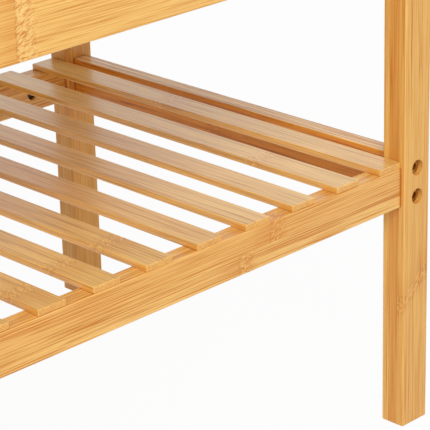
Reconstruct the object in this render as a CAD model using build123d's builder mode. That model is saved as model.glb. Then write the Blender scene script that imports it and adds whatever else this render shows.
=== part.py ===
from build123d import *
from collections import namedtuple
import os

# Entryway bench of laminated bamboo: four legs, a slatted shoe shelf and a slatted seat.
# Rails and aprons butt against the legs and are drawn tight by bolts into barrel nuts and threaded
# inserts, so that the bench packs flat. +X runs along the bench, -Y is the front, +Z is up, and the
# origin is on the floor under the middle of the bench. Sizes are in millimetres.

# Whole frame
frame_length = 889.2  # outside the legs, along the bench
frame_depth = 385.0  # outside the legs, front to back
seat_height = 450.0  # floor to the top of the seat

# Legs
leg_width = 27.1  # along the bench
leg_depth = 20.4  # front to back
leg_edge = 1.2  # rounding of the upright edges
foot_bevel = 1.0  # bevel round the foot

# Shelf
shelf_line = 191.7  # height of the middle of the shelf rails
shelf_rail_height = 29.8
shelf_rail_thickness = 15.4
end_rail_height = 38.6
end_rail_thickness = 14.6
end_rail_lip = 1.1  # end rails above the slats
slat_count = 19
slat_width = 22.7
slat_thickness = 4.6
slat_edge = 0.8  # rounding of the long edges
slat_end_edge = 0.5  # bevel of the cut ends
slat_setback = 0.2  # slat ends behind the outer faces of the rails
slat_leg_gap = 0.4  # between the outermost slats and the legs

# Seat
apron_height = 67.0
apron_thickness = 15.4
end_apron_thickness = 15.4
seat_thickness = 15.0
seat_overhang = 7.0  # past the legs, all round
seat_board_count = 13
seat_gap = 7.0  # between two seat boards
seat_edge = 3.0  # rounding of the long edges
seat_end_edge = 2.0  # rounding of the cut ends
cleat_width = 18.0  # front to back
cleat_height = 18.0
cleat_edge = 1.0
cleat_leg_gap = 1.0

# Rails and aprons
board_setback = 3.0  # long boards behind the outer faces of the legs
board_edge = 1.0  # rounding of the long edges
board_end_edge = 0.5  # bevel of the cut ends
end_shift = 0.45  # end rails and end aprons outwards from the middle of the legs

# Bolts, with barrel nuts in the long boards and threaded inserts in the end boards
bolt_diameter = 6.0
bolt_play = 0.6  # bolt hole over bolt
head_diameter = 10.4
head_height = 3.5
head_bevel = 0.5
socket_across = 5.0  # across the flats of the hexagon socket
socket_depth = 2.2
head_play = 1.3  # counterbore over head
front_counterbore_depth = 7.0  # in the front and back faces of the legs
side_counterbore_depth = 5.0  # in the end faces of the legs
nut_diameter = 10.0
nut_length = 10.0
nut_play = 0.2  # nut hole over nut
nut_inset = 37.0  # nut from the end of its board
nut_slot_width = 1.4
nut_slot_depth = 1.5
insert_diameter = 10.0
insert_length = 15.0
insert_bevel = 0.8
insert_socket_across = 7.0  # across the flats of the hexagon socket
insert_socket_depth = 3.0
bolt_tip = 4.0  # bolt end past the middle of the nut, or past the insert
tip_room = 2.0  # hole past the bolt end
shelf_bolt_spacing = 21.9  # the two bolts of a shelf end rail
apron_bolt_spacing = 30.0  # the two bolts of an end apron

# Dowels beside the single bolt of a long board
dowel_diameter = 6.0
dowel_in_leg = 6.0
dowel_in_board = 18.0

# Brads of the slats, set below the surface and filled over
brad_width = 1.2
brad_depth = 1.0
brad_in_rail = 8.0
brad_cover = 1.0  # wood left over the brad
brad_play = 0.1

# Wood screws of the cleats and the seat boards
screw_diameter = 4.0
screw_head_diameter = 8.0
screw_point = 3.0
screw_play = 0.2
screw_in_seat = 10.0
screw_in_apron = 10.0
screw_end_margin = 12.0  # last screw from the end of a cleat
sink_angle = 90.0

# Derived sizes
half_length = frame_length / 2
half_depth = frame_depth / 2
inner_x = half_length - leg_width  # inner face of the legs
clear_length = 2 * inner_x
clear_depth = frame_depth - 2 * leg_depth
board_face_y = half_depth - board_setback  # outer faces of the long boards
end_axis_x = half_length - leg_width / 2 + end_shift
leg_height = seat_height - seat_thickness
apron_line = leg_height - apron_height / 2
rail_top = shelf_line + shelf_rail_height / 2
end_rail_line = rail_top + slat_thickness + end_rail_lip - end_rail_height / 2
slat_length = 2 * (board_face_y - slat_setback)
slat_pitch = (clear_length - 2 * slat_leg_gap - slat_width) / (slat_count - 1)
seat_length = frame_length + 2 * seat_overhang
seat_depth = frame_depth + 2 * seat_overhang
seat_pitch = (seat_length + seat_gap) / seat_board_count
seat_board_width = seat_pitch - seat_gap
cleat_length = clear_length - 2 * cleat_leg_gap
cleat_y = board_face_y - apron_thickness - cleat_width / 2
bolt_hole = (bolt_diameter + bolt_play) / 2
counterbore = (head_diameter + head_play) / 2
nut_hole = (nut_diameter + nut_play) / 2
long_bore = nut_inset + bolt_tip + tip_room
end_bore = insert_length + bolt_tip + tip_room
brad_inset = (shelf_rail_thickness - dowel_diameter) / 4  # half way from the rail's inner face to the dowels
front_bolt_length = leg_depth - front_counterbore_depth + insert_length + bolt_tip
side_bolt_length = leg_width - side_counterbore_depth + nut_inset + bolt_tip
screw_hole = (screw_diameter + screw_play) / 2
sink_radius = (screw_head_diameter + screw_play) / 2

# A level is one ring of boards round the legs: long boards front and back, end boards left and right
long_fields = "long_line long_height long_thickness"
end_fields = "end_line end_height end_thickness bolt_spacing"
Level = namedtuple("Level", f"{long_fields} {end_fields}")
shelf = Level(
    shelf_line,
    shelf_rail_height,
    shelf_rail_thickness,
    end_rail_line,
    end_rail_height,
    end_rail_thickness,
    shelf_bolt_spacing,
)
seat_frame = Level(
    apron_line,
    apron_height,
    apron_thickness,
    apron_line,
    apron_height,
    end_apron_thickness,
    apron_bolt_spacing,
)
levels = (shelf, seat_frame)

# Signs of the two ends and the two long sides, with the words used in names
sides = {"left": -1, "right": 1}
fronts = {"front": -1, "back": 1}
corners = [(side, front) for side in sides.values() for front in fronts.values()]

os.makedirs("parts", exist_ok=True)


def save(part, name):
    part.label = name
    export_step(part, f"parts/{name}.step")


def dowel_offset(level):
    """Height of a dowel above or below the bolt: half way from the bolt hole to the board's edge."""
    return (level.long_height / 2 + bolt_hole) / 2


def end_bolt_heights(level):
    return (level.end_line - level.bolt_spacing / 2, level.end_line + level.bolt_spacing / 2)


def dowel_heights(level):
    return (level.long_line - dowel_offset(level), level.long_line + dowel_offset(level))


def long_board_y(level, front):
    """Middle of a long board, front to back."""
    return front * (board_face_y - level.long_thickness / 2)


def slat_x(index):
    return (index - (slat_count - 1) / 2) * slat_pitch


def seat_board_x(index):
    return (index - (seat_board_count - 1) / 2) * seat_pitch


def seat_screw_x(index):
    """Middle of the board, or near the end of the cleat where the board reaches past it."""
    limit = cleat_length / 2 - screw_end_margin
    return max(-limit, min(limit, seat_board_x(index)))


def brad_spots(front, z):
    y = front * (board_face_y - shelf_rail_thickness + brad_inset)
    return [(slat_x(index), y, z) for index in range(slat_count)]


def seat_screw_planes(front, z):
    """Planes square to the upright screws of one cleat, seen from below."""
    spots = [(seat_screw_x(index), front * cleat_y, z) for index in range(seat_board_count)]
    return [Plane(spot, z_dir=(0, 0, -1)) for spot in spots]


def cleat_screw_planes(front, y):
    """Planes square to the level screws of one cleat, in every third gap between seat boards."""
    z = leg_height - cleat_height / 2
    xs = [seat_board_x(gap) + seat_pitch / 2 for gap in range(1, seat_board_count - 1, 3)]
    return [Plane((x, front * y, z), z_dir=(0, -front, 0)) for x in xs]


def front_bolt_planes(level, side, front, depth):
    """Planes square to the front-to-back bolts of one corner, the given depth below the leg's face."""
    y = front * (half_depth - depth)
    return [
        Plane(origin=(side * end_axis_x, y, z), x_dir=(1, 0, 0), z_dir=(0, front, 0))
        for z in end_bolt_heights(level)
    ]


def side_bolt_plane(level, side, front, depth):
    """Plane square to the lengthwise bolt of one corner, the given depth below the leg's end face."""
    origin = (side * (half_length - depth), long_board_y(level, front), level.long_line)
    return Plane(origin=origin, x_dir=(0, 1, 0), z_dir=(side, 0, 0))


def dowel_planes(level, side, front):
    """Planes on the inner face of a leg, square to the dowels of its long board."""
    y = long_board_y(level, front)
    return [
        Plane(origin=(side * inner_x, y, z), x_dir=(0, 1, 0), z_dir=(side, 0, 0))
        for z in dowel_heights(level)
    ]


def long_nut_plane(level, side, front):
    """Middle of the nut in a long board, with its slotted end towards the inside of the bench."""
    origin = (side * (inner_x - nut_inset), long_board_y(level, front), level.long_line)
    return Plane(origin=origin, x_dir=(1, 0, 0), z_dir=(0, -front, 0))


# Legs: rounded upright bars with counterbored bolt holes from two sides and blind dowel holes
def make_leg(side, front):
    with BuildPart() as leg:
        with BuildSketch(Plane.XY):
            with Locations((side * (half_length - leg_width / 2), front * (half_depth - leg_depth / 2))):
                RectangleRounded(leg_width, leg_depth, leg_edge)
        extrude(amount=leg_height)
        chamfer(leg.edges().group_by(Axis.Z)[0], foot_bevel)
        for level in levels:
            with Locations(*front_bolt_planes(level, side, front, 0)):
                CounterBoreHole(bolt_hole, counterbore, front_counterbore_depth, leg_depth)
            with Locations(side_bolt_plane(level, side, front, 0)):
                CounterBoreHole(bolt_hole, counterbore, side_counterbore_depth, leg_width)
            with Locations(*dowel_planes(level, side, front)):
                Hole(dowel_diameter / 2, depth=dowel_in_leg)
    return leg.part


for side_name, side in sides.items():
    for front_name, front in fronts.items():
        save(make_leg(side, front), f"leg_{front_name}_{side_name}")


# Long boards: shelf rails and aprons at the front and back, between the legs
def make_long_board(level, front):
    middle_y = long_board_y(level, front)
    with BuildPart() as board:
        with BuildSketch(Plane.YZ.offset(-inner_x)):
            with Locations((middle_y, level.long_line)):
                RectangleRounded(level.long_thickness, level.long_height, board_edge)
        extrude(amount=clear_length)
        cut_ends = board.edges().group_by(Axis.X)
        chamfer(cut_ends[0] + cut_ends[-1], board_end_edge)
        for side in sides.values():
            with Locations(side_bolt_plane(level, side, front, leg_width)):
                Hole(bolt_hole, depth=long_bore)
            with Locations(*dowel_planes(level, side, front)):
                Hole(dowel_diameter / 2, depth=dowel_in_board)
            with Locations(long_nut_plane(level, side, front).offset(level.long_thickness / 2)):
                Hole(nut_hole, depth=(level.long_thickness + nut_length) / 2)
    return board.part


# Shelf rails also take the brads of the slats, and aprons the screws of the cleats
for front_name, front in fronts.items():
    with BuildPart() as shelf_rail:
        add(make_long_board(shelf, front))
        with Locations(*brad_spots(front, rail_top)):
            Box(
                brad_width + brad_play,
                brad_depth + brad_play,
                brad_in_rail,
                align=(Align.CENTER, Align.CENTER, Align.MAX),
                mode=Mode.SUBTRACT,
            )
    save(shelf_rail.part, f"shelf_rail_{front_name}")

    with BuildPart() as apron:
        add(make_long_board(seat_frame, front))
        with Locations(*cleat_screw_planes(front, board_face_y - apron_thickness)):
            Hole(screw_hole, depth=screw_in_apron)
    save(apron.part, f"apron_{front_name}")


# End boards: shelf end rails and end aprons, front to back between the legs
def make_end_board(level, side):
    with BuildPart() as board:
        with BuildSketch(Plane.XZ.offset(-clear_depth / 2)):
            with Locations((side * end_axis_x, level.end_line)):
                RectangleRounded(level.end_thickness, level.end_height, board_edge)
        extrude(amount=clear_depth)
        cut_ends = board.edges().group_by(Axis.Y)
        chamfer(cut_ends[0] + cut_ends[-1], board_end_edge)
        for front in fronts.values():
            with Locations(*front_bolt_planes(level, side, front, leg_depth)):
                CounterBoreHole(bolt_hole, insert_diameter / 2, insert_length, end_bore)
    return board.part


for side_name, side in sides.items():
    save(make_end_board(shelf, side), f"shelf_end_rail_{side_name}")
    save(make_end_board(seat_frame, side), f"end_apron_{side_name}")


# Shelf slats: thin rounded strips across the two shelf rails, each with a brad pocket at both ends
for index in range(slat_count):
    with BuildPart() as slat:
        with BuildSketch(Plane.XZ.offset(-slat_length / 2)):
            with Locations((slat_x(index), rail_top + slat_thickness / 2)):
                RectangleRounded(slat_width, slat_thickness, slat_edge)
        extrude(amount=slat_length)
        cut_ends = slat.edges().group_by(Axis.Y)
        chamfer(cut_ends[0] + cut_ends[-1], slat_end_edge)
        with Locations(*[brad_spots(front, rail_top)[index] for front in fronts.values()]):
            Box(
                brad_width + brad_play,
                brad_depth + brad_play,
                slat_thickness - brad_cover,
                align=(Align.CENTER, Align.CENTER, Align.MIN),
                mode=Mode.SUBTRACT,
            )
    save(slat.part, f"shelf_slat_{index + 1:02d}")


# Seat boards: wider rounded boards across the aprons and the tops of the legs
for index in range(seat_board_count):
    with BuildPart() as seat_board:
        with BuildSketch(Plane.XZ.offset(-seat_depth / 2)):
            with Locations((seat_board_x(index), leg_height + seat_thickness / 2)):
                RectangleRounded(seat_board_width, seat_thickness, seat_edge)
        extrude(amount=seat_depth)
        cut_ends = seat_board.edges().group_by(Axis.Y)
        fillet(cut_ends[0] + cut_ends[-1], min(seat_end_edge, seat_edge))
        underside = Plane((seat_screw_x(index), 0, leg_height), x_dir=(1, 0, 0), z_dir=(0, 0, -1))
        with Locations(underside):
            with Locations((0, -cleat_y), (0, cleat_y)):
                Hole(screw_hole, depth=screw_in_seat)
    save(seat_board.part, f"seat_board_{index + 1:02d}")


# Seat cleats: square bars inside the aprons, with countersunk holes upwards and outwards
for front_name, front in fronts.items():
    with BuildPart() as cleat:
        with BuildSketch(Plane.YZ.offset(-cleat_length / 2)):
            with Locations((front * cleat_y, leg_height - cleat_height / 2)):
                RectangleRounded(cleat_width, cleat_height, cleat_edge)
        extrude(amount=cleat_length)
        with Locations(*seat_screw_planes(front, leg_height - cleat_height)):
            CounterSinkHole(screw_hole, sink_radius, cleat_height, sink_angle)
        with Locations(*cleat_screw_planes(front, cleat_y - cleat_width / 2)):
            CounterSinkHole(screw_hole, sink_radius, cleat_width, sink_angle)
    save(cleat.part, f"seat_cleat_{front_name}")


# Bolts: low head with a hexagon socket above the seat plane, plain shank below it
def make_bolt(length):
    with BuildPart() as bolt:
        with BuildSketch(Plane.XY):
            Circle(bolt_diameter / 2)
        extrude(amount=-length)
        with BuildSketch(Plane.XY):
            Circle(head_diameter / 2)
        extrude(amount=head_height)
        chamfer(bolt.edges().group_by(Axis.Z)[-1], head_bevel)
        with BuildSketch(Plane.XY.offset(head_height)):
            RegularPolygon(socket_across / 2, 6, major_radius=False)
        extrude(amount=-socket_depth, mode=Mode.SUBTRACT)
    return bolt.part


with BuildPart() as front_bolts:
    for level in levels:
        for side, front in corners:
            with Locations(*front_bolt_planes(level, side, front, front_counterbore_depth)):
                add(make_bolt(front_bolt_length))
save(front_bolts.part, "front_bolts")

with BuildPart() as side_bolts:
    for level in levels:
        for side, front in corners:
            with Locations(side_bolt_plane(level, side, front, side_counterbore_depth)):
                add(make_bolt(side_bolt_length))
save(side_bolts.part, "side_bolts")


# Barrel nuts: short cylinders across the long boards, with a cross hole for the bolt and a driver slot
def make_nut():
    with BuildPart() as nut:
        Cylinder(nut_diameter / 2, nut_length)
        with Locations(Plane.YZ):
            Hole(bolt_diameter / 2)
        with Locations((0, 0, nut_length / 2)):
            Box(
                nut_diameter,
                nut_slot_width,
                nut_slot_depth,
                align=(Align.CENTER, Align.CENTER, Align.MAX),
                mode=Mode.SUBTRACT,
            )
    return nut.part


with BuildPart() as barrel_nuts:
    for level in levels:
        for side, front in corners:
            with Locations(long_nut_plane(level, side, front)):
                add(make_nut())
save(barrel_nuts.part, "barrel_nuts")


# Threaded inserts: sleeves in the ends of the end boards, with a bevelled lead and a hexagon socket
def make_insert():
    with BuildPart() as insert:
        with BuildSketch(Plane.XY):
            Circle(insert_diameter / 2)
        extrude(amount=-insert_length)
        chamfer(insert.edges().group_by(Axis.Z)[0], insert_bevel)
        Hole(bolt_diameter / 2)
        with BuildSketch(Plane.XY):
            RegularPolygon(insert_socket_across / 2, 6, major_radius=False)
        extrude(amount=-insert_socket_depth, mode=Mode.SUBTRACT)
    return insert.part


with BuildPart() as thread_inserts:
    for level in levels:
        for side, front in corners:
            with Locations(*front_bolt_planes(level, side, front, leg_depth)):
                add(make_insert())
save(thread_inserts.part, "thread_inserts")

# Dowels: each runs from the leg's blind hole into the end of the long board
with BuildPart() as dowels:
    for level in levels:
        for side, front in corners:
            for plane in dowel_planes(level, side, front):
                with BuildSketch(plane.offset(-dowel_in_board)):
                    Circle(dowel_diameter / 2)
                extrude(amount=dowel_in_board + dowel_in_leg)
save(dowels.part, "dowels")

# Brads: flat wire pins from the rail up into the slat
with BuildPart() as slat_brads:
    for front in fronts.values():
        with Locations(*brad_spots(front, rail_top - brad_in_rail)):
            Box(
                brad_width,
                brad_depth,
                brad_in_rail + slat_thickness - brad_cover,
                align=(Align.CENTER, Align.CENTER, Align.MIN),
            )
save(slat_brads.part, "slat_brads")


# Wood screws: flat head in the countersink, with its top on the seat plane and the point below
def make_screw(length):
    head_radius = screw_head_diameter / 2
    shank_radius = screw_diameter / 2
    with BuildPart() as screw:
        with BuildSketch(Plane.XZ):
            with BuildLine():
                Polyline(
                    (0, 0),
                    (head_radius, 0),
                    (shank_radius, shank_radius - head_radius),
                    (shank_radius, screw_point - length),
                    (0, -length),
                    close=True,
                )
            make_face()
        revolve(axis=Axis.Z)
    return screw.part


with BuildPart() as seat_screws:
    for front in fronts.values():
        with Locations(*seat_screw_planes(front, leg_height - cleat_height)):
            add(make_screw(cleat_height + screw_in_seat))
save(seat_screws.part, "seat_screws")

with BuildPart() as cleat_screws:
    for front in fronts.values():
        with Locations(*cleat_screw_planes(front, cleat_y - cleat_width / 2)):
            add(make_screw(cleat_width + screw_in_apron))
save(cleat_screws.part, "cleat_screws")
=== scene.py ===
"""Looks of the bamboo entryway bench: laminated bamboo, plated fittings, a pale studio and the camera."""

import math

import bpy
from mathutils import Matrix, Vector


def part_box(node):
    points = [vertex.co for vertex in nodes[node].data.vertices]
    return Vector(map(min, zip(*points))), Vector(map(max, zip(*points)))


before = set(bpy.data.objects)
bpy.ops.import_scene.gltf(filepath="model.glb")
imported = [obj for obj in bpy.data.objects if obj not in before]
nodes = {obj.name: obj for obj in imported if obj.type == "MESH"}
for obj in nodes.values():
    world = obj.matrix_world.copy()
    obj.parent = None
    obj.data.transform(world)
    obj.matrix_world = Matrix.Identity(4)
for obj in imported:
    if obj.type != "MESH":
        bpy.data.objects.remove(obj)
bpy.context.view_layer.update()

scene = bpy.context.scene
scene.view_settings.view_transform = "Standard"

MM = 0.001


def linear(red, green, blue):
    """Linear RGBA of an sRGB colour whose channels run from 0 to 255."""
    channels = []
    for level in (red, green, blue):
        share = level / 255
        channels.append(share / 12.92 if share <= 0.04045 else ((share + 0.055) / 1.055) ** 2.4)
    return (*channels, 1.0)


class Graph:
    """Adds shader nodes to a tree, with short calls for the few kinds that the finishes use."""

    # Sockets of a mix node that blends colours
    MIX_FACTOR = 0
    MIX_FIRST = 6
    MIX_SECOND = 7
    MIX_RESULT = 2

    def __init__(self, tree):
        self.tree = tree

    def feed(self, socket, value):
        """Links a socket to another one, or sets it to a plain value."""
        if isinstance(value, bpy.types.NodeSocket):
            self.tree.links.new(value, socket)
        else:
            socket.default_value = value

    def add(self, kind, inputs=None, **settings):
        """A new node with those settings, and its inputs fed by name."""
        node = self.tree.nodes.new(kind)
        for name, value in settings.items():
            setattr(node, name, value)
        for name, value in (inputs or {}).items():
            self.feed(node.inputs[name], value)
        return node

    def math(self, operation, *values):
        node = self.add("ShaderNodeMath", operation=operation)
        for socket, value in zip(node.inputs, values):
            self.feed(socket, value)
        return node.outputs[0]

    def sum(self, *terms):
        total = terms[0]
        for term in terms[1:]:
            total = self.math("ADD", total, term)
        return total

    def weighed(self, marks, weights):
        """The marks that the weights name, each times its weight."""
        return [self.math("MULTIPLY", marks[name], weight) for name, weight in weights.items()]

    def centred(self, value, gain=1.0):
        """A noise value moved to zero mean and scaled."""
        return self.math("MULTIPLY", self.math("SUBTRACT", value, 0.5), gain)

    def rise(self, value, start, end):
        """0 below start, 1 above end, with a smooth step between them."""
        limits = {"Value": value, "From Min": start, "From Max": end}
        node = self.add("ShaderNodeMapRange", limits, interpolation_type="SMOOTHSTEP")
        return node.outputs["Result"]

    def fall(self, value, start, end):
        """1 below start, 0 above end, with a smooth step between them."""
        return self.math("SUBTRACT", 1.0, self.rise(value, start, end))

    def near(self, value, reach, full=0.3):
        """1 up to that share of the reach, fading to 0 at the reach."""
        return self.fall(value, full * reach, reach)

    def vector(self, x, y, z):
        return self.add("ShaderNodeCombineXYZ", {"X": x, "Y": y, "Z": z}).outputs[0]

    def noise(self, point, detail=2.0, roughness=0.5, distortion=0.0):
        inputs = {
            "Vector": point,
            "Scale": 1.0,
            "Detail": detail,
            "Roughness": roughness,
            "Distortion": distortion,
        }
        return self.add("ShaderNodeTexNoise", inputs).outputs["Fac"]

    def blend(self, factor, first, second):
        """The first colour at factor 0, the second at factor 1."""
        node = self.add("ShaderNodeMix", data_type="RGBA")
        self.feed(node.inputs[self.MIX_FACTOR], factor)
        self.feed(node.inputs[self.MIX_FIRST], first)
        self.feed(node.inputs[self.MIX_SECOND], second)
        return node.outputs[self.MIX_RESULT]


# Laminated bamboo. One group draws it from a point along, across and through the grain, in metres.
RUST = linear(224, 140, 44)  # tint round a knuckle, on cut ends and in some strips and layers
SCAR_AND_JOINT_SHADOW = linear(186, 98, 22)  # line of a knuckle, and painted shadow line at a joint
GLEAM = linear(255, 220, 146)  # bright strokes beyond a knuckle
PORE = linear(150, 92, 40)  # fibre bundles on a cut end

# Strips and layers
SEAM_WIDTH = 0.3 * MM  # glue line between two strips or layers
INSIDE = 0.9  # keeps a point on a face clear of the seam line at that face
SEED_PER_STRIP = 17.3  # these two keep the draws of one piece apart from those of the next
SEED_PER_LAYER = 5.7
REDDISH_DRAWS = (0.5, 1.0)  # draws that give a strip a reddish tint, from none to full

# Knuckles: an uneven line, darker wood ahead of it and a zone of disturbed fibres beyond it
KNUCKLE_WAVE = 5 * MM  # unevenness of the line
WAVE_SCALE = 130.0
WAVE_DETAIL = 4.0
WAVE_SEED = 3.1
KNUCKLE_ZONE = 20 * MM  # length of the zone
ZONE_START = (-0.5 * MM, 1.5 * MM)  # where the zone sets in, from the line
AHEAD_START = (-25 * MM, 0.0)  # where the darker wood sets in, from the line
AHEAD_END = (-1 * MM, 1 * MM)
SCAR_WIDTH = (0.2 * MM, 1.3 * MM)  # half width of the line, full and fading
PATCH_SCALE = 420.0  # breaks in the line
PATCH_LIMITS = (0.35, 0.65)

# Strokes beyond a knuckle: waves per metre along and across the grain, and shift of the pattern
DARK_CURLS = (150.0, 400.0, 0.0)
LIGHT_CURLS = (130.0, 460.0, 31.0)
DARK_CURL_WIDTH = 0.10  # in units of the noise, as are the two other widths of ridges
LIGHT_CURL_WIDTH = 0.11
CURL_SEED = 1.7
CURL_DISTORTION = 1.0
STROKE_SLANT = 0.45  # slope of the strokes against the grain
FIBRE_BEND = 4 * MM  # how far the strokes bend the fibres
RIDGE_CORE = 0.25  # share of a ridge at full strength

# Fibres: waves per metre along and across the grain, detail and roughness of the noise
BANDS = (1.6, 95.0, 1.0, 0.5)
STREAKS = (5.0, 640.0, 3.0, 0.7)
DASHES = (4.0, 580.0, 1.0, 0.5)
DASH_BREAKS = (14.0, 300.0, 1.0, 0.5)
LINES = (11.0, 1300.0, 2.0, 0.6)
HAIRS = (30.0, 2600.0, 2.0, 0.6)
STREAK_LIMITS = (0.48, 0.70)
DASH_WIDTH = 0.05
DASH_LIMITS = (0.36, 0.58)
LINE_LIMITS = (0.50, 0.68)
STRIP_SHIFT = 40.0  # largest shift of the fibres from strip to strip

# Edges, painted shadow lines at joints, and cut ends
EDGE_REACH = 1.3 * MM  # width of the paler band on rounded edges
EDGE_WANDER = 0.6 * MM
JOINT_SHADOW_REACH = 3.2 * MM  # width of the painted shadow line where a board butts against a leg
JOINT_SHADOW_CORE = 0.2  # share of that width at full strength
CUT_END_FACING = (0.7, 0.9)  # how squarely a face has to cross the grain
DOT_SCALE = 1000.0
DOT_SIZE = (0.12, 0.4)
DOT_SHARE = 0.08
CUT_END_RUST = 0.25

# Weights of the marks. A tone of 0 is the deep colour, 1 the pale one.
GRAIN_WEIGHTS = {"bands": 0.4, "streaks": -0.2, "dashes": -0.5, "lines": -0.5, "hairs": 1.0}
BASE_TONE = 0.86
TONE_WEIGHTS = {"dark curls": -0.75, "light curls": 0.6, "ahead": -0.2, "edge": 0.1, "seam": -0.3}
RUST_WEIGHTS = {"zone": 0.15, "ahead": 0.15}
GLEAM_SHARE = 0.45
SCAR_SHARE = 0.45
BASE_ROUGHNESS = 0.46
ROUGHNESS_WEIGHTS = {"streaks": 0.10, "zone": 0.06, "cut end": 0.16}
RELIEF_WEIGHTS = {
    "streaks": -0.5,
    "lines": -0.25,
    "hairs": 0.3,
    "scar": 0.2,
    "dark curls": -0.15,
    "seam": -0.5,
}

GROUP_INPUTS = {
    "Point": "NodeSocketVector",
    "Half": "NodeSocketVector",
    "Facing": "NodeSocketFloat",
    "Strip": "NodeSocketFloat",
    "Layer": "NodeSocketFloat",
    "Seed": "NodeSocketFloat",
    "Contrast": "NodeSocketFloat",
    "Variety": "NodeSocketFloat",
    "Joint shadow": "NodeSocketFloat",
    "Knuckle at": "NodeSocketFloat",
    "Knuckle step": "NodeSocketFloat",
    "Knuckle slope": "NodeSocketFloat",
    "Knuckle lift": "NodeSocketFloat",
    "Knuckle turn": "NodeSocketFloat",
    "Knuckle scatter": "NodeSocketFloat",
    "Knuckle pitch": "NodeSocketFloat",
    "Knuckle strength": "NodeSocketFloat",
    "Knuckle gleam": "NodeSocketFloat",
    "Pale": "NodeSocketColor",
    "Deep": "NodeSocketColor",
}
GROUP_OUTPUTS = {
    "Color": "NodeSocketColor",
    "Roughness": "NodeSocketFloat",
    "Height": "NodeSocketFloat",
}


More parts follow.
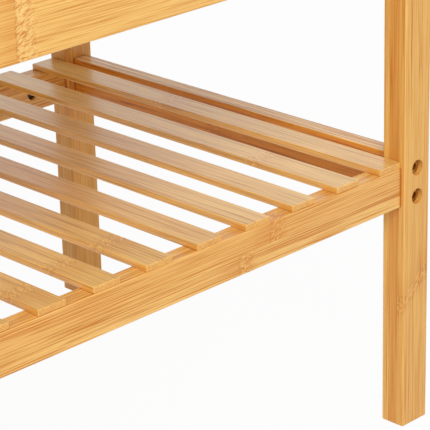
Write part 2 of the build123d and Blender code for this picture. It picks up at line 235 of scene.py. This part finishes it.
def make_bamboo_group():
    """Node group that gives colour, roughness and relief of the bamboo at a point."""
    tree = bpy.data.node_groups.new("bamboo_grain", "ShaderNodeTree")
    for name, kind in GROUP_INPUTS.items():
        tree.interface.new_socket(name, in_out="INPUT", socket_type=kind)
    for name, kind in GROUP_OUTPUTS.items():
        tree.interface.new_socket(name, in_out="OUTPUT", socket_type=kind)
    g = Graph(tree)
    given = tree.nodes.new("NodeGroupInput").outputs
    point = g.add("ShaderNodeSeparateXYZ", {"Vector": given["Point"]}).outputs
    half = g.add("ShaderNodeSeparateXYZ", {"Vector": given["Half"]}).outputs
    along, across, through = point["X"], point["Y"], point["Z"]
    seed = given["Seed"]

    # Strips side by side and layers glued on each other, each with tones of its own
    def divided(place, reach, width):
        """Number of the strip or layer at that place, and the glue line beside it."""
        counted = g.math("DIVIDE", g.math("MULTIPLY_ADD", place, INSIDE, reach), width)
        gap = g.math("MULTIPLY", g.math("PINGPONG", counted, 0.5), width)
        return g.math("FLOOR", counted), g.near(gap, SEAM_WIDTH)

    strip_index, strip_seam = divided(across, half["Y"], given["Strip"])
    layer_index, layer_seam = divided(through, half["Z"], given["Layer"])
    seam = g.math("MAXIMUM", strip_seam, layer_seam)
    cell = g.vector(
        g.math("MULTIPLY_ADD", seed, SEED_PER_STRIP, strip_index),
        g.math("MULTIPLY_ADD", seed, SEED_PER_LAYER, layer_index),
        seed,
    )
    draw = g.add("ShaderNodeTexWhiteNoise", {"Vector": cell}, noise_dimensions="3D")
    drawn = g.add("ShaderNodeSeparateColor", {"Color": draw.outputs["Color"]}).outputs

    # Distance from the nearest knuckle of this strip, with an uneven line
    strip_shift = g.math("MULTIPLY", strip_index, given["Knuckle step"])
    layer_shift = g.math("MULTIPLY", layer_index, given["Knuckle lift"])
    slope_shift = g.math("MULTIPLY", across, given["Knuckle slope"])
    random_shift = g.centred(drawn["Green"], given["Knuckle scatter"])
    knuckle_place = g.sum(given["Knuckle at"], strip_shift, layer_shift, slope_shift, random_shift)
    from_first = g.math("SUBTRACT", along, knuckle_place)
    knuckle_index = g.math("ROUND", g.math("DIVIDE", from_first, given["Knuckle pitch"]))
    from_knuckle = g.math("SUBTRACT", from_first, g.math("MULTIPLY", knuckle_index, given["Knuckle pitch"]))
    wave_point = g.vector(
        g.math("MULTIPLY", across, WAVE_SCALE),
        g.math("MULTIPLY", through, WAVE_SCALE),
        g.math("ADD", knuckle_index, g.math("MULTIPLY", seed, WAVE_SEED)),
    )
    wave = g.centred(g.noise(wave_point, detail=WAVE_DETAIL), KNUCKLE_WAVE)
    from_line = g.math("MULTIPLY_ADD", from_knuckle, given["Knuckle turn"], wave)
    started = g.rise(from_line, *ZONE_START)
    ended = g.near(from_line, KNUCKLE_ZONE)
    zone = g.math("MULTIPLY", g.math("MULTIPLY", started, ended), given["Knuckle strength"])
    scar = g.fall(g.math("ABSOLUTE", from_line), *SCAR_WIDTH)
    patch_point = g.vector(
        g.math("MULTIPLY", across, PATCH_SCALE),
        g.math("MULTIPLY", through, PATCH_SCALE),
        seed,
    )
    scar = g.math("MULTIPLY", scar, g.rise(g.noise(patch_point), *PATCH_LIMITS))
    scar = g.math("MULTIPLY", scar, given["Knuckle strength"])
    ahead = g.math("MULTIPLY", g.rise(from_line, *AHEAD_START), g.fall(from_line, *AHEAD_END))
    ahead = g.math("MULTIPLY", ahead, given["Knuckle strength"])

    # Slanted strokes of the fibres beyond a knuckle
    slanted = g.math("MULTIPLY_ADD", along, -STROKE_SLANT, across)

    def curls(lengthwise, crosswise, shift):
        """Noise stretched along the slanted strokes."""
        place = g.vector(
            g.math("MULTIPLY_ADD", along, lengthwise, g.math("MULTIPLY_ADD", seed, CURL_SEED, shift)),
            g.math("MULTIPLY", slanted, crosswise),
            g.math("MULTIPLY", through, crosswise),
        )
        return g.noise(place, distortion=CURL_DISTORTION)

    def ridge(value, width):
        """1 along the lines where a noise value crosses its mean, 0 beyond that width."""
        return g.near(g.math("ABSOLUTE", g.math("SUBTRACT", value, 0.5)), width, RIDGE_CORE)

    swirl = curls(*DARK_CURLS)
    dark_curls = g.math("MULTIPLY", ridge(swirl, DARK_CURL_WIDTH), zone)
    light_curls = g.math("MULTIPLY", ridge(curls(*LIGHT_CURLS), LIGHT_CURL_WIDTH), zone)
    light_curls = g.math("MULTIPLY", light_curls, given["Knuckle gleam"])
    bent = g.math("ADD", across, g.math("MULTIPLY", g.centred(swirl, FIBRE_BEND), zone))

    # Fibres: broad bands, dark streaks, broken dashes, finer lines and hairs, all along the strip
    def fibres(lengthwise, crosswise, detail, roughness):
        """Noise stretched along the grain, with a shift of its own in each strip and layer."""
        shift = g.math("MULTIPLY", draw.outputs["Value"], STRIP_SHIFT)
        stretched = g.vector(
            g.math("MULTIPLY_ADD", along, lengthwise, shift),
            g.math("MULTIPLY_ADD", bent, crosswise, shift),
            g.math("MULTIPLY_ADD", through, crosswise, seed),
        )
        return g.noise(stretched, detail=detail, roughness=roughness)

    bands = fibres(*BANDS)
    streaks = g.rise(fibres(*STREAKS), *STREAK_LIMITS)
    dashes = ridge(fibres(*DASHES), DASH_WIDTH)
    dashes = g.math("MULTIPLY", dashes, g.rise(fibres(*DASH_BREAKS), *DASH_LIMITS))
    lines = g.rise(fibres(*LINES), *LINE_LIMITS)
    hairs = fibres(*HAIRS)

    # Rounded edges are sanded paler
    edge_gap = g.math(
        "MAXIMUM",
        g.math("SUBTRACT", half["Y"], g.math("ABSOLUTE", across)),
        g.math("SUBTRACT", half["Z"], g.math("ABSOLUTE", through)),
    )
    edge = g.near(g.math("ADD", edge_gap, g.centred(bands, EDGE_WANDER)), EDGE_REACH)

    cut_end = g.rise(given["Facing"], *CUT_END_FACING)
    marks = {
        "bands": g.centred(bands),
        "streaks": streaks,
        "dashes": dashes,
        "lines": lines,
        "hairs": g.centred(hairs),
        "dark curls": dark_curls,
        "light curls": light_curls,
        "ahead": ahead,
        "zone": zone,
        "scar": scar,
        "edge": edge,
        "seam": seam,
        "cut end": cut_end,
    }

    # Colour of the long faces
    grain = g.sum(*g.weighed(marks, GRAIN_WEIGHTS))
    tone = g.sum(
        BASE_TONE,
        g.math("MULTIPLY", grain, given["Contrast"]),
        g.centred(draw.outputs["Value"], given["Variety"]),
        *g.weighed(marks, TONE_WEIGHTS),
    )
    shade = g.add("ShaderNodeClamp", {"Value": tone}).outputs[0]
    face = g.blend(shade, given["Deep"], given["Pale"])
    reddish = g.math("MULTIPLY", g.rise(drawn["Blue"], *REDDISH_DRAWS), given["Variety"])
    face = g.blend(g.sum(*g.weighed(marks, RUST_WEIGHTS), reddish), face, RUST)
    face = g.blend(g.math("MULTIPLY", light_curls, GLEAM_SHARE), face, GLEAM)
    face = g.blend(g.math("MULTIPLY", scar, SCAR_SHARE), face, SCAR_AND_JOINT_SHADOW)

    # Where a board butts against a leg, a dark line is painted shade for the groove that its bevelled end
    # leaves
    from_end = g.math("SUBTRACT", half["X"], g.math("ABSOLUTE", along))
    joint_shadow = g.math("MULTIPLY", g.near(from_end, JOINT_SHADOW_REACH, JOINT_SHADOW_CORE), given["Joint shadow"])
    face = g.blend(joint_shadow, face, SCAR_AND_JOINT_SHADOW)

    # Cut ends show the fibre bundles as dots
    dots_point = g.vector(
        g.math("MULTIPLY", across, DOT_SCALE),
        g.math("MULTIPLY", through, DOT_SCALE),
        seed,
    )
    dots = g.add("ShaderNodeTexVoronoi", {"Vector": dots_point, "Scale": 1.0}).outputs["Distance"]
    dot_share = g.math("MULTIPLY", g.fall(dots, *DOT_SIZE), DOT_SHARE)
    dotted = g.blend(dot_share, g.blend(CUT_END_RUST, face, RUST), PORE)
    color = g.blend(cut_end, face, dotted)

    roughness = g.sum(BASE_ROUGHNESS, *g.weighed(marks, ROUGHNESS_WEIGHTS))
    height = g.sum(*g.weighed(marks, RELIEF_WEIGHTS))
    results = {"Color": color, "Roughness": roughness, "Height": height}
    g.add("NodeGroupOutput", results)
    return tree


bamboo_group = make_bamboo_group()

# Which row axes run along, across and through the grain of each kind of piece
LEG_AXES = "ZXY"
LONG_AXES = "XZY"
END_AXES = "YZX"
FLAT_AXES = "YXZ"

# Knuckles of a piece, in metres along the grain: place of one of them from the middle of the piece, shift
# from strip to strip, shift from layer to layer, slope across the grain, side of the disturbed fibres,
# random shift of each strip, spacing, strength, and strength of the bright strokes
SCATTERED = {
    "at": 0.0,
    "step": 0.0,
    "lift": 0.0,
    "slope": 0.0,
    "turn": 1.0,
    "scatter": 0.5,
    "pitch": 0.46,
    "strength": 0.7,
    "gleam": 0.3,
}
PLACED = {**SCATTERED, "scatter": 0.0}
CLEAR = {**PLACED, "strength": 0.0}

LIT_TOP_FACING = (0.6, 0.9)  # how squarely a face has to look upwards to take the paler top colour, a painted reflection of the bright surround
COAT_ROUGHNESS = 0.28
RELIEF_STRENGTH = 0.3
RELIEF_DEPTH = 0.12 * MM


def new_material(name):
    """An empty material, and the graph that fills it."""
    material = bpy.data.materials.new(name)
    material.use_nodes = True
    material.node_tree.nodes.clear()
    return material, Graph(material.node_tree)


def wear(node_name, material):
    """Gives a CAD node that material in its slot."""
    piece = nodes[node_name]
    if not piece.material_slots:
        piece.data.materials.append(material)
    piece.material_slots[0].material = material


def bamboo(node_name, axes, strips, layers, seed, finish, knuckles=SCATTERED):
    """Dresses a node in bamboo of that many strips across and layers through, in a finish."""
    low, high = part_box(node_name)
    middle = (low + high) / 2
    size = high - low
    order = ["XYZ".index(axis) for axis in axes]
    length, width, depth = [size[index] for index in order]

    material, g = new_material(f"bamboo_{node_name}")
    spot = g.add("ShaderNodeTexCoord").outputs
    moved = g.add("ShaderNodeVectorMath", operation="SUBTRACT")
    g.feed(moved.inputs[0], spot["Object"])
    g.feed(moved.inputs[1], middle)
    offset = g.add("ShaderNodeSeparateXYZ", {"Vector": moved.outputs[0]}).outputs
    normal = g.add("ShaderNodeSeparateXYZ", {"Vector": spot["Normal"]}).outputs
    grain = g.add("ShaderNodeGroup", node_tree=bamboo_group)
    upward = g.rise(normal["Z"], *LIT_TOP_FACING)
    gloss = finish["gloss"]
    given = {
        "Point": g.vector(*[offset[axis] for axis in axes]),
        "Half": (length / 2, width / 2, depth / 2),
        "Facing": g.math("ABSOLUTE", normal[axes[0]]),
        "Strip": width / strips,
        "Layer": depth / layers,
        "Seed": float(seed),
        "Contrast": finish["contrast"],
        "Variety": finish["variety"],
        "Joint shadow": finish.get("joint_shadow", 0.0),
        # Upward faces take the paler top colour, a painted reflection of the bright surround; the sides
        # keep the darker colour as painted shade
        "Pale": g.blend(upward, finish["pale"], finish.get("top", finish["pale"])),
        "Deep": finish["deep"],
    }
    for name, value in knuckles.items():
        given[f"Knuckle {name}"] = value
    for name, value in given.items():
        g.feed(grain.inputs[name], value)
    relief = {"Height": grain.outputs["Height"], "Strength": RELIEF_STRENGTH, "Distance": RELIEF_DEPTH}
    bump = g.add("ShaderNodeBump", relief)
    shader = g.add(
        "ShaderNodeBsdfPrincipled",
        {
            "Base Color": grain.outputs["Color"],
            "Roughness": grain.outputs["Roughness"],
            "Normal": bump.outputs["Normal"],
            "Specular IOR Level": gloss["base"],
            "Coat Weight": 1.0,
            "Coat IOR": gloss["coat"],
            "Coat Roughness": COAT_ROUGHNESS,
        },
    )
    g.add("ShaderNodeOutputMaterial", {"Surface": shader.outputs["BSDF"]})
    wear(node_name, material)


# Lacquer: reflection of the wood under it, and refractive index of the coat
THIN = {"base": 0.08, "coat": 1.34}
FULL = {"base": 0.3, "coat": 1.5}
BARE = {"base": 0.2, "coat": 1.0}

# Finishes: colours of the pale wood and of the dark fibres, contrast of the grain, variety between
# strips and layers, lacquer, and for some a paler top, which is a painted reflection of the bright
# surround, and the strength of the painted shadow line at their joints
BOARD = {
    "pale": linear(253, 210, 123),
    "deep": linear(206, 127, 40),
    "contrast": 1.3,
    "variety": 0.2,
    "gloss": THIN,
}
# Boards that butt against a leg, with a painted shadow line at their ends
BUTTED = {**BOARD, "joint_shadow": 0.95}
RAIL = {**BUTTED, "pale": linear(248, 200, 117), "top": linear(255, 216, 134), "contrast": 1.6}
# End boards: darker pale and deep colours are painted shade on their inner faces, and their much paler top
# is a painted reflection of the bright surround
SHADED_END_BOARD = {
    **BUTTED,
    "pale": linear(240, 164, 58),
    "top": linear(255, 222, 158),
    "deep": linear(172, 88, 12),
    "variety": 0.1,
}
LEG = {
    **BOARD,
    "pale": linear(248, 200, 110),
    "deep": linear(194, 114, 32),
    "contrast": 0.8,
    "variety": 0.4,
}
# Back legs: a darker, more orange copy of the leg colours, painted shade for legs that stand under the seat
SHADED_BACK_LEG = {
    **BOARD,
    "pale": linear(244, 188, 98),
    "deep": linear(200, 118, 36),
    "contrast": 0.7,
    "variety": 0.14,
}
SLAT = {
    "pale": linear(248, 190, 92),
    "top": linear(252, 216, 132),
    "deep": linear(196, 136, 48),
    "contrast": 1.2,
    "variety": 0.1,
    "gloss": FULL,
}
RAW = {
    "pale": linear(232, 196, 140),
    "deep": linear(188, 134, 80),
    "contrast": 0.6,
    "variety": 0.2,
    "gloss": BARE,
}

# Knuckles that show in the photograph. The leg's one is given by its height above the floor.
APRON_KNUCKLE = {**PLACED, "at": 0.0755, "strength": 1.0, "gleam": 1.0}
RAIL_KNUCKLE = {**PLACED, "at": 0.252, "step": 0.030, "strength": 1.0, "gleam": 0.25}
LEG_KNUCKLE_HEIGHT = 0.118
LEG_KNUCKLE = {**PLACED, "slope": 0.9, "lift": 0.24, "turn": -1.0, "pitch": 1.0, "strength": 0.65}
SLAT_KNUCKLE = {**PLACED, "gleam": 0.4}
SLAT_KNUCKLES_AT = {19: 0.032, 18: -0.113, 14: -0.147, 13: -0.152, 12: -0.165}
CLEAR_SLATS = (15, 16, 17)

# Seeds of the draws, to which the number of the piece is added. The photographed leg and the dowels take
# theirs as it is.
PHOTOGRAPHED_LEG_SEED = 75
RAIL_SEED = 10
APRON_SEED = 20
CLEAT_SEED = 30
END_RAIL_SEED = 40
END_APRON_SEED = 50
SLAT_SEED = 180
SEAT_SEED = 200
DOWEL_SEED = 300

# Strips across and layers through
ONE_STRIP = {"strips": 1, "layers": 3}
TWO_STRIPS = {"strips": 2, "layers": 3}
THREE_STRIPS = {"strips": 3, "layers": 3}
SOLID = {"strips": 1, "layers": 1}
EACH_DOWEL = {"strips": 60, "layers": 60}

leg_low, leg_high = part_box("leg_front_right")
leg_middle = (leg_low.z + leg_high.z) / 2
number = 0
for front in ("front", "back"):
    in_front = front == "front"
    for side in ("left", "right"):
        number += 1
        seed = number
        # The back legs take the copy with painted shade
        finish = LEG if in_front else SHADED_BACK_LEG
        knuckles = SCATTERED
        if in_front and side == "right":
            seed = PHOTOGRAPHED_LEG_SEED
            knuckles = {**LEG_KNUCKLE, "at": LEG_KNUCKLE_HEIGHT - leg_middle}
        bamboo(f"leg_{front}_{side}", LEG_AXES, **ONE_STRIP, seed=seed, finish=finish, knuckles=knuckles)
    knuckles = RAIL_KNUCKLE if in_front else SCATTERED
    seed = RAIL_SEED + number
    bamboo(f"shelf_rail_{front}", LONG_AXES, **TWO_STRIPS, seed=seed, finish=RAIL, knuckles=knuckles)
    knuckles = APRON_KNUCKLE if in_front else SCATTERED
    seed = APRON_SEED + number
    bamboo(f"apron_{front}", LONG_AXES, **ONE_STRIP, seed=seed, finish=BUTTED, knuckles=knuckles)
    bamboo(f"seat_cleat_{front}", LONG_AXES, **TWO_STRIPS, seed=CLEAT_SEED + number, finish=BOARD)
for side in ("left", "right"):
    number += 1
    seed = END_RAIL_SEED + number
    bamboo(f"shelf_end_rail_{side}", END_AXES, **TWO_STRIPS, seed=seed, finish=SHADED_END_BOARD)
    seed = END_APRON_SEED + number
    bamboo(f"end_apron_{side}", END_AXES, **ONE_STRIP, seed=seed, finish=BUTTED)
slat_names = sorted(name for name in nodes if name.startswith("shelf_slat"))
for index, name in enumerate(slat_names, start=1):
    knuckles = CLEAR if index in CLEAR_SLATS else SCATTERED
    if index in SLAT_KNUCKLES_AT:
        knuckles = {**SLAT_KNUCKLE, "at": SLAT_KNUCKLES_AT[index]}
    bamboo(name, FLAT_AXES, **SOLID, seed=SLAT_SEED + index, finish=SLAT, knuckles=knuckles)
seat_names = sorted(name for name in nodes if name.startswith("seat_board"))
for index, name in enumerate(seat_names, start=1):
    bamboo(name, FLAT_AXES, **THREE_STRIPS, seed=SEAT_SEED + index, finish=BOARD)
bamboo("dowels", LONG_AXES, **EACH_DOWEL, seed=DOWEL_SEED, finish=RAW, knuckles=CLEAR)

# Plated steel
CLOUD_SCALE = 260.0
CLOUD_DETAIL = 4.0
CLOUD_LIMITS = (0.35, 0.75)  # noise from plain to worn colour
CLOUD_ROUGHNESS = 0.3
PIT_DETAIL = 3.0
PIT_STRENGTH = 0.2
PIT_DEPTH = 0.05 * MM


def plated(name, color, worn, roughness, pits):
    """Plated steel with a cloudy tone and fine pits, of which that many fit in a metre."""
    material, g = new_material(name)
    spot = g.add("ShaderNodeTexCoord").outputs["Object"]
    cloud_inputs = {"Vector": spot, "Scale": CLOUD_SCALE, "Detail": CLOUD_DETAIL}
    cloud = g.add("ShaderNodeTexNoise", cloud_inputs).outputs["Fac"]
    pit_inputs = {"Vector": spot, "Scale": pits, "Detail": PIT_DETAIL}
    fine = g.add("ShaderNodeTexNoise", pit_inputs).outputs["Fac"]
    bump = g.add("ShaderNodeBump", {"Height": fine, "Strength": PIT_STRENGTH, "Distance": PIT_DEPTH})
    shader = g.add(
        "ShaderNodeBsdfPrincipled",
        {
            "Base Color": g.blend(g.rise(cloud, *CLOUD_LIMITS), color, worn),
            "Metallic": 1.0,
            "Roughness": g.sum(roughness, g.centred(cloud, CLOUD_ROUGHNESS)),
            "Normal": bump.outputs["Normal"],
        },
    )
    g.add("ShaderNodeOutputMaterial", {"Surface": shader.outputs["BSDF"]})
    return material


bronze = plated("bronze_plate", linear(160, 108, 44), linear(192, 142, 74), roughness=0.5, pits=1800.0)
dark_bronze = plated("dark_bronze", linear(64, 50, 34), linear(98, 80, 56), roughness=0.42, pits=1500.0)
zinc = plated("yellow_zinc", linear(176, 158, 112), linear(206, 194, 160), roughness=0.34, pits=1500.0)
wire = plated("bright_wire", linear(168, 168, 168), linear(200, 200, 198), roughness=0.3, pits=2200.0)
for name in ("front_bolts", "side_bolts"):
    wear(name, bronze)
for name in ("barrel_nuts", "thread_inserts"):
    wear(name, dark_bronze)
for name in ("seat_screws", "cleat_screws"):
    wear(name, zinc)
wear("slat_brads", wire)

# Studio: a pale floor that the camera sees nearly white, a white surround and two soft lamps
WHITE = (1.0, 1.0, 1.0, 1.0)
AMBIENT = 0.42  # light of the surround on the object
FLOOR_COLOR = linear(246, 246, 245)
FLOOR_GLOW = 0.95  # share of plain white in the floor as the camera sees it
FLOOR_HALF = 6.0


def seen_directly(g):
    """1 for rays from the camera or off a mirror or glass, 0 for the light that falls on the object."""
    path = g.add("ShaderNodeLightPath").outputs
    mirrored = g.math("MAXIMUM", path["Is Glossy Ray"], path["Is Transmission Ray"])
    return g.math("MAXIMUM", path["Is Camera Ray"], mirrored)


world = bpy.data.worlds.new("studio")
world.use_nodes = True
world.node_tree.nodes.clear()
scene.world = world
g = Graph(world.node_tree)
strength = g.math("MULTIPLY_ADD", seen_directly(g), 1.0 - AMBIENT, AMBIENT)
surround = g.add("ShaderNodeBackground", {"Color": WHITE, "Strength": strength})
g.add("ShaderNodeOutputWorld", {"Surface": surround.outputs[0]})

floor_mesh = bpy.data.meshes.new("floor")
floor_corners = [(-1, -1, 0), (1, -1, 0), (1, 1, 0), (-1, 1, 0)]
floor_mesh.from_pydata([Vector(corner) * FLOOR_HALF for corner in floor_corners], [], [(0, 1, 2, 3)])
floor = bpy.data.objects.new("floor", floor_mesh)
scene.collection.objects.link(floor)
material, g = new_material("pale_floor")
matt = g.add("ShaderNodeBsdfDiffuse", {"Color": FLOOR_COLOR})
glow = g.add("ShaderNodeEmission", {"Color": WHITE, "Strength": 1.0})
mixed = g.add("ShaderNodeMixShader")
g.feed(mixed.inputs[0], g.math("MULTIPLY", seen_directly(g), FLOOR_GLOW))
g.feed(mixed.inputs[1], matt.outputs[0])
g.feed(mixed.inputs[2], glow.outputs[0])
g.add("ShaderNodeOutputMaterial", {"Surface": mixed.outputs[0]})
floor_mesh.materials.append(material)


def lamp(name, place, target, size, power):
    """A square area lamp aimed at a target; size in metres and power in watts."""
    data = bpy.data.lights.new(name, "AREA")
    data.shape = "SQUARE"
    data.size = size
    data.energy = power
    light = bpy.data.objects.new(name, data)
    light.location = place
    light.rotation_euler = (Vector(target) - Vector(place)).to_track_quat("-Z", "Y").to_euler()
    scene.collection.objects.link(light)


lamp("key", place=(-1.6, -2.2, 2.7), target=(0.1, 0.0, 0.25), size=1.8, power=88.0)
lamp("fill", place=(2.4, -0.6, 1.8), target=(0.2, 0.0, 0.2), size=1.8, power=8.0)

# Camera at the photograph's viewpoint. Its place and angles were fitted to the edges in the photograph.
IMAGE_PIXELS = 430
FOCAL_PIXELS = 2059.4
CAMERA_PLACE = Vector((-0.6368, -1.0762, 0.7273))
CAMERA_HEADING = math.radians(44.362)  # from +Y towards +X
CAMERA_PITCH = math.radians(21.950)  # downwards
CAMERA_ROLL = math.radians(-1.59)

forward = Vector((
    math.sin(CAMERA_HEADING) * math.cos(CAMERA_PITCH),
    math.cos(CAMERA_HEADING) * math.cos(CAMERA_PITCH),
    -math.sin(CAMERA_PITCH),
))
level_right = Vector((math.cos(CAMERA_HEADING), -math.sin(CAMERA_HEADING), 0.0))
level_down = forward.cross(level_right)
right = math.cos(CAMERA_ROLL) * level_right - math.sin(CAMERA_ROLL) * level_down
up = -(math.sin(CAMERA_ROLL) * level_right + math.cos(CAMERA_ROLL) * level_down)
camera_data = bpy.data.cameras.new("camera")
camera_data.sensor_width = 36.0
camera_data.lens = camera_data.sensor_width * FOCAL_PIXELS / IMAGE_PIXELS
camera = bpy.data.objects.new("camera", camera_data)
camera.matrix_world = Matrix.Translation(CAMERA_PLACE) @ Matrix((right, up, -forward)).transposed().to_4x4()
scene.collection.objects.link(camera)
scene.camera = camera
